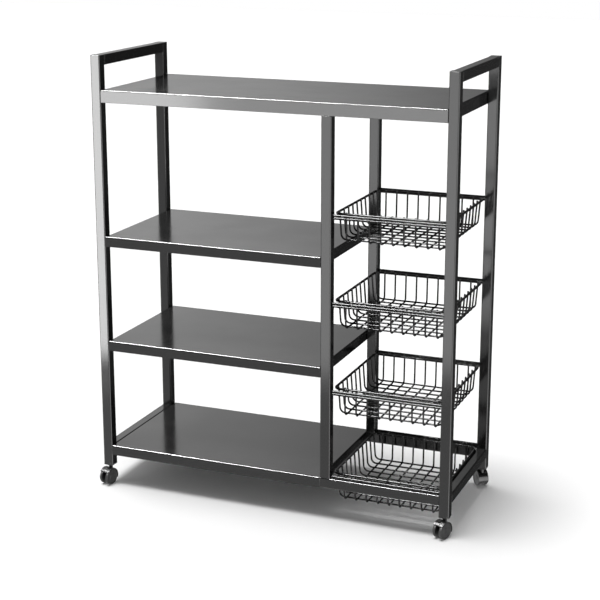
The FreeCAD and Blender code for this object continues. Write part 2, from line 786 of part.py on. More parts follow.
doc.recompute()
for thing in doc.Objects:
    wrong = [word for word in thing.State if word in ("Invalid", "Error")]
    if wrong:
        raise RuntimeError("%s is %s: %s" % (thing.Label, wrong, thing.getStatusString()))
for name, thing in nodes.items():
    shape = thing.Shape
    if shape.isNull() or not shape.isValid():
        raise RuntimeError("the shape of %s is not sound" % name)
for name, thing in nodes.items():
    thing.Shape.exportStep("parts/%s.step" % name)
print("%d nodes" % len(nodes))
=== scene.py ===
import json
import logging
import math
from dataclasses import dataclass
from enum import Enum
from typing import Any, Sequence

import bmesh
import bpy
from mathutils import Matrix, Vector


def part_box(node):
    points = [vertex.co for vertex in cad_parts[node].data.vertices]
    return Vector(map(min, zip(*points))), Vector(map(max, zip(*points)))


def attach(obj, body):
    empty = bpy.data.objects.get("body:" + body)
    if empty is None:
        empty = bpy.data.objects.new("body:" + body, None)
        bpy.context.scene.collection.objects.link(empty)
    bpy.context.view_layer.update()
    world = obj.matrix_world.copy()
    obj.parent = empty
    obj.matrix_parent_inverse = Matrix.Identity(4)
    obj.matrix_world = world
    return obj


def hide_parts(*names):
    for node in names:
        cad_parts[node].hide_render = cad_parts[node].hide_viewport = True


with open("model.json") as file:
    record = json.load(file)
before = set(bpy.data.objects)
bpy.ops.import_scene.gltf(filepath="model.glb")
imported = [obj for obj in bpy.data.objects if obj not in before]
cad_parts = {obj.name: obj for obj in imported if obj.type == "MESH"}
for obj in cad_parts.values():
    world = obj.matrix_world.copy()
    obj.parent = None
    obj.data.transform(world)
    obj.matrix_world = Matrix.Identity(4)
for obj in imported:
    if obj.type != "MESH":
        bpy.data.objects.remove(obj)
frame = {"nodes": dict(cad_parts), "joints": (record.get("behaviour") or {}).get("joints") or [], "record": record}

# Looks of a rolling kitchen storage rack: tube frame, folded shelves, wire baskets and castors.
# Everything is in metres, in the rack's own frame: X towards the baskets, Y to the back, Z up.

LOG = logging.getLogger("storage_rack")

Socket = bpy.types.NodeSocket
Mesh = bmesh.types.BMesh
Edge = bmesh.types.BMEdge

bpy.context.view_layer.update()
MM = 0.001

# Points of a new mesh that lie closer than this are one point
MERGE_DISTANCE = 0.01 * MM

# Faces that meet at a larger angle than this keep a sharp edge
SHARP_ANGLE = math.radians(35)

# Large flat faces keep their own direction beside the small facets of a bend
FACE_WEIGHT = 100

# Rays that feel for an edge where a coat is rubbed, and where light runs round it
RUB_SAMPLES = 4
ROUND_SAMPLES = 6

# Stretches of a noise, or of how alike two directions are, in which a mask goes from nothing to full
CLOUD_SPAN = (0.3, 0.7)
PATCH_SPAN = (0.35, 0.75)
DUST_SPAN = (0.35, 0.8)
GRAIN_SPAN = (0.45, 0.75)
SCUFF_SPAN = (0.56, 0.68)
EDGE_SPAN = (0.99, 0.85)
UPWARD_SPAN = (0.6, 1.0)

BODY_OF = {node: body for body, nodes in frame["record"]["behaviour"]["bodies"].items() for node in nodes}
JOINTS = {joint["name"]: joint for joint in frame["joints"]}


class Slot(Enum):
    """Material slots of the record."""

    COAT = "black_coat"
    WIRE = "black_wire"
    ZINC = "zinc_steel"
    PLUG = "black_plastic"
    HOOD = "hood_plastic"
    WHEEL = "wheel_plastic"


class Corner(Enum):
    """The rack's four corners, as the castors and posts are named."""

    LEFT_FRONT = "left_front"
    RIGHT_FRONT = "right_front"
    LEFT_REAR = "left_rear"
    RIGHT_REAR = "right_rear"


class WheelSide(Enum):
    """The side of a castor's hood on which a wheel runs, as a sign along the axle."""

    INNER = 1
    OUTER = -1


# Shader sheets and the effects that finishes share


class ShaderSheet:
    """A node tree with short ways to add and link nodes."""

    def __init__(self, tree: bpy.types.NodeTree) -> None:
        """Keep the tree that nodes are added to."""
        self.tree = tree

    def add(self, kind: str, inputs: dict[Any, Any] | None = None, **settings: Any) -> bpy.types.Node:
        """Add a node, set its options and fill its inputs with values or links.

        Args:
            kind: Blender's type name of the node.
            inputs: Values or output sockets by input name or number.
            **settings: Options of the node itself.

        Returns:
            The new node.
        """
        node = self.tree.nodes.new(kind)
        for option, value in settings.items():
            setattr(node, option, value)
        for key, value in (inputs or {}).items():
            if isinstance(value, Socket):
                self.tree.links.new(value, node.inputs[key])
            else:
                node.inputs[key].default_value = value
        return node

    def math(self, operation: str, first: Any, second: Any = 0.0, clamp: bool = False) -> Socket:
        """Add a Math node.

        Args:
            operation: Name of the operation.
            first: Value or socket of the first input.
            second: Value or socket of the second input.
            clamp: Whether the result stays between 0 and 1.

        Returns:
            The node's output.
        """
        node = self.add("ShaderNodeMath", {0: first, 1: second}, operation=operation, use_clamp=clamp)
        return node.outputs[0]

    def ramp(self, value: Any, low: float, high: float, start: Any = 0.0, end: Any = 1.0) -> Socket:
        """Turn a stretch of a value smoothly into another range.

        Args:
            value: Socket that is read.
            low: Value that gives the start of the new range.
            high: Value that gives the end of the new range.
            start: Start of the new range.
            end: End of the new range.

        Returns:
            The node's output.
        """
        inputs = {"Value": value, "From Min": low, "From Max": high, "To Min": start, "To Max": end}
        return self.add("ShaderNodeMapRange", inputs, interpolation_type="SMOOTHSTEP").outputs["Result"]


class EffectGroup:
    """A shader node group that more than one finish uses."""

    def __init__(self, name: str, inputs: dict[str, float | None], outputs: Sequence[str]) -> None:
        """Make the group and its sockets; an input without a number is a vector.

        Args:
            name: Name of the group.
            inputs: Default value of each input by name.
            outputs: Names of the outputs, all of them values.
        """
        self.tree = bpy.data.node_groups.new(name, "ShaderNodeTree")
        self.sheet = ShaderSheet(self.tree)
        for label, value in inputs.items():
            kind = "NodeSocketVector" if value is None else "NodeSocketFloat"
            socket = self.tree.interface.new_socket(label, in_out="INPUT", socket_type=kind)
            if value is not None:
                socket.default_value = value
        for label in outputs:
            self.tree.interface.new_socket(label, in_out="OUTPUT", socket_type="NodeSocketFloat")
        self.inside = self.tree.nodes.new("NodeGroupInput").outputs
        self.outside = self.tree.nodes.new("NodeGroupOutput").inputs

    def give(self, label: str, socket: Socket) -> None:
        """Link a socket inside the group to one of its outputs."""
        self.tree.links.new(socket, self.outside[label])

    def use(self, sheet: ShaderSheet, inputs: dict[str, Any]) -> bpy.types.Node:
        """Place the group in a finish's sheet and fill its inputs."""
        return sheet.add("ShaderNodeGroup", inputs, node_tree=self.tree)


def noise(sheet: ShaderSheet, place: Any, scale: Any, detail: float) -> Socket:
    """Add a noise texture.

    Args:
        sheet: Sheet that it goes into.
        place: Socket of the coordinates.
        scale: Cells in a metre, as a number or a socket.
        detail: Octaves of finer noise.

    Returns:
        The noise's value.
    """
    inputs = {"Vector": place, "Scale": scale, "Detail": detail}
    return sheet.add("ShaderNodeTexNoise", inputs).outputs["Fac"]


def orange_peel_group() -> EffectGroup:
    """Make the uneven skin of a sprayed or moulded surface: fine cells over long soft waves.

    Returns:
        The group, which gives the skin's height.
    """
    inputs = {"Place": None, "Cells": 700.0, "Waves": 30.0, "Wave Share": 0.5}
    group = EffectGroup("orange_peel", inputs, ["Height"])
    sheet, given = group.sheet, group.inside
    fine = noise(sheet, given["Place"], given["Cells"], detail=1.0)
    waves = noise(sheet, given["Place"], given["Waves"], detail=0.0)
    lifted = sheet.math("MULTIPLY", waves, given["Wave Share"])
    group.give("Height", sheet.math("ADD", fine, lifted))
    return group


def film_group() -> EffectGroup:
    """Make the cloudy change in gloss that wiping and handling leave on a coat.

    Returns:
        The group, which gives a roughness between a low and a high one.
    """
    inputs = {"Place": None, "Clouds": 9.0, "Low": 0.2, "High": 0.3}
    group = EffectGroup("handled_film", inputs, ["Roughness"])
    sheet, given = group.sheet, group.inside
    clouds = noise(sheet, given["Place"], given["Clouds"], detail=3.0)
    share = sheet.ramp(clouds, *CLOUD_SPAN)
    span = sheet.math("SUBTRACT", given["High"], given["Low"])
    group.give("Roughness", sheet.math("ADD", given["Low"], sheet.math("MULTIPLY", share, span)))
    return group


def edge_group() -> EffectGroup:
    """Make a mask of the edges, where a coat is thin and gets rubbed.

    Returns:
        The group, which gives the mask.
    """
    group = EffectGroup("rubbed_edges", {"Place": None, "Reach": 1.2 * MM, "Patches": 60.0}, ["Mask"])
    sheet, given = group.sheet, group.inside
    rounded = sheet.add("ShaderNodeBevel", {"Radius": given["Reach"]}, samples=RUB_SAMPLES).outputs["Normal"]
    plain = sheet.add("ShaderNodeNewGeometry").outputs["Normal"]
    likeness = sheet.add("ShaderNodeVectorMath", {0: rounded, 1: plain}, operation="DOT_PRODUCT")
    edge = sheet.ramp(likeness.outputs["Value"], *EDGE_SPAN)
    patches = sheet.ramp(noise(sheet, given["Place"], given["Patches"], detail=2.0), *PATCH_SPAN)
    group.give("Mask", sheet.math("MULTIPLY", edge, patches))
    return group


def dust_group() -> EffectGroup:
    """Make a mask of the fine dust that settles on faces that look up.

    Returns:
        The group, which gives the mask.
    """
    group = EffectGroup("settled_dust", {"Place": None, "Clouds": 14.0, "Grains": 900.0}, ["Mask"])
    sheet, given = group.sheet, group.inside
    facing = sheet.add("ShaderNodeNewGeometry").outputs["Normal"]
    height = sheet.add("ShaderNodeSeparateXYZ", {0: facing}).outputs["Z"]
    upward = sheet.ramp(height, *UPWARD_SPAN)
    clouds = sheet.ramp(noise(sheet, given["Place"], given["Clouds"], detail=4.0), *DUST_SPAN)
    grains = sheet.ramp(noise(sheet, given["Place"], given["Grains"], detail=0.0), *GRAIN_SPAN)
    spread = sheet.math("MULTIPLY", clouds, grains)
    group.give("Mask", sheet.math("MULTIPLY", spread, upward))
    return group


@dataclass(frozen=True)
class Effects:
    """The shared effect groups."""

    peel: EffectGroup
    film: EffectGroup
    edges: EffectGroup
    dust: EffectGroup


# Finishes


class FinishSheet(ShaderSheet):
    """A material with a Principled shader and the object's own coordinates."""

    def __init__(self, name: str) -> None:
        """Make an empty material.

        Args:
            name: Name of the material.
        """
        self.material = bpy.data.materials.new(name)
        self.material.use_nodes = True
        super().__init__(self.material.node_tree)
        self.shader = self.tree.nodes["Principled BSDF"]
        self.place = self.add("ShaderNodeTexCoord").outputs["Object"]

    def feed(self, label: str, value: Any) -> None:
        """Set or link an input of the shader.

        Args:
            label: Name of the input.
            value: Value or socket that it gets.
        """
        if isinstance(value, Socket):
            self.tree.links.new(value, self.shader.inputs[label])
        else:
            self.shader.inputs[label].default_value = value

    def blend(self, share: Socket, first: Any, second: Any) -> Socket:
        """Mix two colours.

        Args:
            share: Socket of the second colour's share.
            first: Colour or socket where the share is 0.
            second: Colour or socket where the share is 1.

        Returns:
            The mixed colour.
        """
        inputs = {0: share, 6: first, 7: second}
        return self.add("ShaderNodeMix", inputs, data_type="RGBA").outputs[2]

    def bump(self, height: Socket, depth: float, rounding: float) -> None:
        """Let a height change the surface's normal, and let light run round the edges.

        Args:
            height: Socket of the height.
            depth: How deep the height goes, in metres.
            rounding: Radius that the edges seem to have, in metres.
        """
        rounded = self.add("ShaderNodeBevel", {"Radius": rounding}, samples=ROUND_SAMPLES).outputs["Normal"]
        inputs = {"Strength": 1.0, "Distance": depth, "Height": height, "Normal": rounded}
        made = self.add("ShaderNodeBump", inputs)
        self.feed("Normal", made.outputs["Normal"])


def shade(level: float, tint: float = 0.0) -> tuple[float, float, float, float]:
    """Return a grey of a linear level, a little warm if the tint is positive."""
    return (level * (1 + tint), level, level * (1 - tint), 1.0)


@dataclass(frozen=True)
class PowderCoat:
    """Black coat baked on tube and sheet: satin gloss, orange peel, thin edges, a trace of dust."""

    name: str
    base: float = 0.004
    edge: float = 0.03
    dust_level: float = 0.16
    dust_tint: float = 0.04
    dust_share: float = 0.05
    smooth: float = 0.13
    hazy: float = 0.18
    gloss: float = 0.5
    cells: float = 620.0
    waves: float = 26.0
    wave_share: float = 1.4
    depth: float = 0.012 * MM
    rounding: float = 1.6 * MM

    def build(self, effects: Effects) -> bpy.types.Material:
        """Make the material.

        Args:
            effects: The shared effect groups.

        Returns:
            The finished material.
        """
        sheet = FinishSheet(self.name)
        edges = effects.edges.use(sheet, {"Place": sheet.place}).outputs["Mask"]
        dust = effects.dust.use(sheet, {"Place": sheet.place}).outputs["Mask"]
        dusty = sheet.math("MULTIPLY", dust, self.dust_share)
        coat = sheet.blend(edges, shade(self.base), shade(self.edge))
        sheet.feed("Base Color", sheet.blend(dusty, coat, shade(self.dust_level, self.dust_tint)))
        film = effects.film.use(sheet, {"Place": sheet.place, "Low": self.smooth, "High": self.hazy})
        sheet.feed("Roughness", sheet.math("ADD", film.outputs["Roughness"], dusty, clamp=True))
        sheet.feed("Specular IOR Level", self.gloss)
        skin = {"Place": sheet.place, "Cells": self.cells, "Waves": self.waves, "Wave Share": self.wave_share}
        sheet.bump(effects.peel.use(sheet, skin).outputs["Height"], self.depth, self.rounding)
        return sheet.material


@dataclass(frozen=True)
class Moulding:
    """Black moulded plastic: a grained skin with scuffs that catch the light."""

    name: str
    base: float = 0.004
    scuff: float = 0.025
    scuff_tint: float = 0.03
    scuff_share: float = 0.3
    scuff_cells: float = 420.0
    scuff_haze: float = 0.12
    edge_reach: float = 0.6 * MM
    edge_patches: float = 300.0
    clouds: float = 120.0
    smooth: float = 0.3
    hazy: float = 0.42
    cells: float = 2400.0
    waves: float = 90.0
    wave_share: float = 0.3
    depth: float = 0.015 * MM
    rounding: float = 0.4 * MM

    def build(self, effects: Effects) -> bpy.types.Material:
        """Make the material.

        Args:
            effects: The shared effect groups.

        Returns:
            The finished material.
        """
        sheet = FinishSheet(self.name)
        rubbed = {"Place": sheet.place, "Reach": self.edge_reach, "Patches": self.edge_patches}
        edges = effects.edges.use(sheet, rubbed).outputs["Mask"]
        scuffs = sheet.ramp(noise(sheet, sheet.place, self.scuff_cells, detail=6.0), *SCUFF_SPAN)
        worn = sheet.math("MAXIMUM", edges, sheet.math("MULTIPLY", scuffs, self.scuff_share))
        sheet.feed("Base Color", sheet.blend(worn, shade(self.base), shade(self.scuff, self.scuff_tint)))
        handled = {"Place": sheet.place, "Clouds": self.clouds, "Low": self.smooth, "High": self.hazy}
        film = effects.film.use(sheet, handled).outputs["Roughness"]
        sheet.feed("Roughness", sheet.math("ADD", film, sheet.math("MULTIPLY", scuffs, self.scuff_haze)))
        skin = {"Place": sheet.place, "Cells": self.cells, "Waves": self.waves, "Wave Share": self.wave_share}
        sheet.bump(effects.peel.use(sheet, skin).outputs["Height"], self.depth, self.rounding)
        return sheet.material


@dataclass(frozen=True)
class Plating:
    """Blackened zinc plate on steel, with a fine grained skin and cloudy passivation."""

    name: str
    base: float = 0.03
    cloud: float = 0.05
    cloud_tint: float = -0.02
    cloud_cells: float = 150.0
    film_clouds: float = 90.0
    smooth: float = 0.24
    hazy: float = 0.4
    cells: float = 1500.0
    waves: float = 400.0
    wave_share: float = 0.6
    depth: float = 0.01 * MM
    rounding: float = 0.4 * MM

    def build(self, effects: Effects) -> bpy.types.Material:
        """Make the material.

        Args:
            effects: The shared effect groups.

        Returns:
            The finished material.
        """
        sheet = FinishSheet(self.name)
        clouds = sheet.ramp(noise(sheet, sheet.place, self.cloud_cells, detail=4.0), *CLOUD_SPAN)
        sheet.feed("Base Color", sheet.blend(clouds, shade(self.base), shade(self.cloud, self.cloud_tint)))
        sheet.feed("Metallic", 1.0)
        handled = {"Place": sheet.place, "Clouds": self.film_clouds, "Low": self.smooth, "High": self.hazy}
        sheet.feed("Roughness", effects.film.use(sheet, handled).outputs["Roughness"])
        skin = {"Place": sheet.place, "Cells": self.cells, "Waves": self.waves, "Wave Share": self.wave_share}
        sheet.bump(effects.peel.use(sheet, skin).outputs["Height"], self.depth, self.rounding)
        return sheet.material


@dataclass(frozen=True)
class Finishes:
    """Every finish of the rack, by the record's slot."""

    by_slot: dict[Slot, bpy.types.Material]

    @classmethod
    def mix(cls) -> "Finishes":
        """Build the shared effects and every finish.

        Returns:
            The finishes.
        """
        effects = Effects(orange_peel_group(), film_group(), edge_group(), dust_group())
        wire = PowderCoat("wire_coat", base=0.003, dust_share=0.02, smooth=0.08, hazy=0.12, gloss=0.25,
                          waves=120.0, rounding=0.3 * MM)
        hood = Moulding("hood_moulding", base=0.002, smooth=0.18, hazy=0.26, scuff_share=0.1)
        wheel = Moulding("wheel_nylon", base=0.008, scuff=0.04, smooth=0.38, hazy=0.5)
        return cls({
            Slot.COAT: PowderCoat("powder_coat").build(effects),
            Slot.WIRE: wire.build(effects),
            Slot.ZINC: Plating("black_zinc").build(effects),
            Slot.PLUG: Moulding("plug_moulding").build(effects),
            Slot.HOOD: hood.build(effects),
            Slot.WHEEL: wheel.build(effects),
        })


# Meshes


def new_piece(name: str, mesh: Mesh) -> bpy.types.Object:
    """Turn a bmesh into a smooth-shaded object that sits at the origin.

    Args:
        name: Name of the piece.
        mesh: Its shape, in place. It is used up.

    Returns:
        The object, linked to the scene.
    """
    bmesh.ops.remove_doubles(mesh, verts=mesh.verts[:], dist=MERGE_DISTANCE)
    bmesh.ops.recalc_face_normals(mesh, faces=mesh.faces[:])
    data = bpy.data.meshes.new(name)
    mesh.to_mesh(data)
    mesh.free()
    data.shade_smooth()
    data.set_sharp_from_angle(angle=SHARP_ANGLE)
    piece = bpy.data.objects.new(name, data)
    bpy.context.scene.collection.objects.link(piece)
    return piece


def settle(piece: bpy.types.Object, slot: Slot, finishes: Finishes, *nodes: str) -> None:
    """Give a new piece its finish and let it stand for CAD nodes of one body.

    Args:
        piece: The new piece, in place.
        slot: The record's slot of its finish.
        finishes: Every finish of the rack.
        *nodes: The nodes that it stands for.
    """
    piece.data.materials.append(finishes.by_slot[slot])
    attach(piece, BODY_OF[nodes[0]])
    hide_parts(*nodes)
    LOG.info("%s stands for %s", piece.name, ", ".join(nodes))


def dress(node: str, material: bpy.types.Material) -> None:
    """Give a CAD node its finish and smooth shading over its small facets.

    Args:
        node: Name of the node.
        material: Its finish.
    """
    piece = frame["nodes"][node]
    piece.data.materials.clear()
    piece.data.materials.append(material)
    piece.data.shade_smooth()
    weld = piece.modifiers.new("weld", "WELD")
    weld.merge_threshold = MERGE_DISTANCE
    split = piece.modifiers.new("split", "EDGE_SPLIT")
    split.split_angle = SHARP_ANGLE
    even = piece.modifiers.new("even", "WEIGHTED_NORMAL")
    even.weight = FACE_WEIGHT
    LOG.info("%s dressed", node)


def new_parts(geometry: Sequence[Any], kind: type) -> list[Any]:
    """Return the parts of one kind from the result of an operator."""
    return [part for part in geometry if isinstance(part, kind)]


@dataclass(frozen=True)
class RoundBar:
    """Round bar or wire, bent from straight runs."""

    radius: float
    bend: float = 0.0
    sides: int = 12
    steps: int = 5

    def extend(self, mesh: Mesh, section: list[Edge], way: Vector) -> list[Edge]:
        """Lengthen the bar by a straight run.

        Args:
            mesh: Mesh that holds the bar.
            section: Edges of its open end.
            way: The run.

        Returns:
            Edges of the new open end.
        """
        grown = bmesh.ops.extrude_edge_only(mesh, edges=section)["geom"]
        ends = new_parts(grown, bmesh.types.BMVert)
        bmesh.ops.translate(mesh, verts=ends, vec=way)
        fresh = set(ends)
        return [edge for edge in new_parts(grown, Edge) if fresh.issuperset(edge.verts)]

    def turn(self, mesh: Mesh, section: list[Edge], centre: Vector, axis: Vector,
             angle: float) -> list[Edge]:
        """Lengthen the bar by a bend.

        Args:
            mesh: Mesh that holds the bar.
            section: Edges of its open end.
            centre: Middle of the bend.
            axis: Axis of the bend.
            angle: How far the bar turns, in radians.

        Returns:
            Edges of the new open end.
        """
        spun = bmesh.ops.spin(mesh, geom=section, cent=centre, axis=axis, angle=angle, steps=self.steps,
                              use_merge=False, use_duplicate=False)
        return new_parts(spun["geom_last"], Edge)

    def add(self, mesh: Mesh, points: Sequence[Vector], closed: bool = False) -> None:
        """Run the bar through points, with a bend at each point between the first and the last.

        Args:
            mesh: Mesh that the bar is added to.
            points: Corners of the bar's middle line.
            closed: Whether the last point meets the first, so that neither end gets a cap.
        """
        way = (points[1] - points[0]).normalized()
        start = Matrix.Translation(points[0]) @ way.to_track_quat("Z", "Y").to_matrix().to_4x4()
        ring = bmesh.ops.create_circle(mesh, cap_ends=not closed, segments=self.sides, radius=self.radius,
                                       matrix=start)
        section = list(dict.fromkeys(edge for vert in ring["verts"] for edge in vert.link_edges))
        used = 0.0
        for here, there, beyond in zip(points, points[1:], list(points[2:]) + [None]):
            way = (there - here).normalized()
            angle = way.angle(beyond - there) if beyond else 0.0
            cut = self.bend * math.tan(angle / 2)
            section = self.extend(mesh, section, way * ((there - here).length - used - cut))
            if beyond:
                axis = way.cross(beyond - there).normalized()
                centre = there - way * cut + axis.cross(way) * self.bend
                section = self.turn(mesh, section, centre, axis, angle)
            used = cut
        if not closed:
            bmesh.ops.edgeloop_fill(mesh, edges=section)


def repeat(mesh: Mesh, step: Vector, count: int) -> None:
    """Repeat everything in a mesh in a row.

    Args:
        mesh: Mesh that holds the first one.
        step: Way from each one to the next.
        count: How many there are in all.
    """
    first = mesh.verts[:] + mesh.edges[:] + mesh.faces[:]
    for number in range(1, count):
        copied = bmesh.ops.duplicate(mesh, geom=first)["geom"]
        bmesh.ops.translate(mesh, verts=new_parts(copied, bmesh.types.BMVert), vec=step * number)


def revolve(mesh: Mesh, profile: Sequence[Vector], centre: Vector, axis: Vector, start: float,
            angle: float, steps: int) -> None:
    """Turn a closed profile about an axis into a solid.

    Args:
        mesh: Mesh that the solid is added to.
        profile: Corners of the profile, in place.
        centre: A point of the axis.
        axis: Direction of the axis.
        start: How far the profile is turned first, in radians.
        angle: How far it is swept, in radians.
        steps: Number of steps.
    """
    corners = [mesh.verts.new(point) for point in profile]
    bmesh.ops.rotate(mesh, cent=centre, matrix=Matrix.Rotation(start, 3, axis), verts=corners)
    face = mesh.faces.new(corners)
    whole = math.isclose(angle, math.tau)
    geometry = list(face.edges) if whole else [face] + list(face.edges)
    bmesh.ops.spin(mesh, geom=geometry, cent=centre, axis=axis, angle=angle, steps=steps, use_merge=whole,
                   use_duplicate=False)
    if whole:
        bmesh.ops.delete(mesh, geom=[face], context="FACES_ONLY")


# Pieces of the rack


@dataclass(frozen=True)
class TubeFrame:
    """The rack's square tubes and sheet trays, with the bolts, stems and plugs that join them."""

    tubes: tuple[str, ...] = (
        "left_front_post", "left_rear_post", "right_front_post", "right_rear_post", "centre_front_post",
        "centre_rear_post", "left_handle_bar", "right_handle_bar", "base_left_rail", "base_right_rail",
        "base_front_rail", "base_rear_rail")
    trays: tuple[str, ...] = ("top_shelf", "upper_shelf", "lower_shelf", "base_shelf")

    def build(self, finishes: Finishes) -> None:
        """Dress the tubes, trays and fastenings.

        Args:
            finishes: Every finish of the rack.
        """
        for node in self.tubes + self.trays:
            dress(node, finishes.by_slot[Slot.COAT])
        for node in ("shelf_bolts", "castor_stems"):
            dress(node, finishes.by_slot[Slot.ZINC])
        dress("post_plugs", finishes.by_slot[Slot.PLUG])


@dataclass(frozen=True)
class RestRod:
    """A round rod welded across the basket bay, which a basket hangs on."""

    level: int
    end: str
    sides: int = 20

    def build(self, finishes: Finishes) -> None:
        """Make the rod where its node is.

        Args:
            finishes: Every finish of the rack.
        """
        node = "rest_rod_%d_%s" % (self.level, self.end)
        low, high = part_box(node)
        middle = (low + high) / 2
        mesh = bmesh.new()
        bar = RoundBar((high.z - low.z) / 2, sides=self.sides)
        bar.add(mesh, [Vector((low.x, middle.y, middle.z)), Vector((high.x, middle.y, middle.z))])
        settle(new_piece(node + "_round", mesh), Slot.WIRE, finishes, node)


@dataclass(frozen=True)
class WireBasket:
    """A lift-out basket of bent wires under a rod rim, hung between two rods."""

    number: int
    rod_radius: float = 3 * MM
    ring_half_width: float = 135 * MM
    ring_half_depth: float = 144.5 * MM
    ring_bend: float = 16 * MM
    ring_bend_steps: int = 8
    rod_sides: int = 16
    link_radius: float = 2.5 * MM
    link_pitch: float = 98 * MM
    wire_radius: float = 2.15 * MM
    long_count: int = 9
    long_lean: float = 1.3 * MM
    long_bend: float = 10.5 * MM
    cross_count: int = 10
    cross_half_row: float = 129.15 * MM
    cross_lean: float = 5.2 * MM
    cross_bend: float = 13 * MM

    def node(self, part: str) -> str:
        """Return the name of one of the basket's nodes."""
        return "basket_%d_%s" % (self.number, part)

    def wall(self, ring_half: float) -> float:
        """Return how far from the basket's middle the wires stand that touch a side of the ring."""
        return ring_half - self.rod_radius - self.wire_radius

    def rim(self) -> bpy.types.Object:
        """Make the rim: ring, hanging rods and the short links between them.

        Returns:
            The rim.
        """
        low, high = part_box(self.node("rim"))
        middle = (low + high) / 2
        half_x, half_y = self.ring_half_width, self.ring_half_depth
        mesh = bmesh.new()
        corners = [(-half_x, -half_y), (half_x, -half_y), (half_x, half_y), (-half_x, half_y)]
        start = middle - Vector((0, half_y, 0))
        ring = [start] + [middle + Vector((x, y, 0)) for x, y in corners[1:] + corners[:1]] + [start]
        bent = RoundBar(self.rod_radius, self.ring_bend, self.rod_sides, self.ring_bend_steps)
        bent.add(mesh, ring, closed=True)
        rod = RoundBar(self.rod_radius, sides=self.rod_sides)
        link = RoundBar(self.link_radius)
        reach = Vector(((high.x - low.x) / 2, 0, 0))
        for side in (-1, 1):
            place = middle + Vector((0, side * (high.y - self.rod_radius), 0))
            rod.add(mesh, [place - reach, place + reach])
            for step in (-1, 0, 1):
                across = Vector((step * self.link_pitch, 0, 0))
                link.add(mesh, [middle + across + Vector((0, side * half_y, 0)), place + across])
        return new_piece(self.node("rim_round"), mesh)

    def bent_wire(self, half: float, lean: float, top: float, floor: float, bend: float,
                  along: Vector, place: Vector) -> Mesh:
        """Make one wire that goes down a wall, across the floor and up the other wall.

        Args:
            half: Half the way between the wire's two upper ends.
            lean: How far each wall leans in down to the floor.
            top: Height of the upper ends.
            floor: Height of the floor run.
            bend: Radius of the bends.
            along: Direction from one wall to the other.
            place: The middle of the wire, on the floor plane.

        Returns:
            A mesh that holds the wire.
        """
        mesh = bmesh.new()
        outline = [(-half, top), (lean - half, floor), (half - lean, floor), (half, top)]
        points = [place + along * across + Vector((0, 0, height)) for across, height in outline]
        RoundBar(self.wire_radius, bend).add(mesh, points)
        return mesh

    def long_wires(self) -> bpy.types.Object:
        """Make the row of wires that run from the front wall to the rear wall.

        Returns:
            The wires.
        """
        low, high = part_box(self.node("long_wires"))
        radius = self.wire_radius
        first = Vector((low.x + radius, 0, 0))
        mesh = self.bent_wire(self.wall(self.ring_half_depth), self.long_lean, high.z,
                              low.z + radius, self.long_bend, Vector((0, 1, 0)), first)
        pitch = (high.x - low.x - 2 * radius) / (self.long_count - 1)
        repeat(mesh, Vector((pitch, 0, 0)), self.long_count)
        return new_piece(self.node("long_wires_round"), mesh)

    def cross_wires(self) -> bpy.types.Object:
        """Make the row of wires that run from the left wall to the right wall.

        Returns:
            The wires.
        """
        low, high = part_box(self.node("cross_wires"))
        first = Vector(((low.x + high.x) / 2, -self.cross_half_row, 0))
        mesh = self.bent_wire(self.wall(self.ring_half_width), self.cross_lean, high.z,
                              low.z + self.wire_radius, self.cross_bend, Vector((1, 0, 0)), first)
        pitch = 2 * self.cross_half_row / (self.cross_count - 1)
        repeat(mesh, Vector((0, pitch, 0)), self.cross_count)
        return new_piece(self.node("cross_wires_round"), mesh)

    def build(self, finishes: Finishes) -> None:
        """Make the basket's rim and wires and let them stand for its nodes.

        Args:
            finishes: Every finish of the rack.
        """
        pieces = {"rim": self.rim(), "long_wires": self.long_wires(), "cross_wires": self.cross_wires()}
        for part, piece in pieces.items():
            settle(piece, Slot.WIRE, finishes, self.node(part))


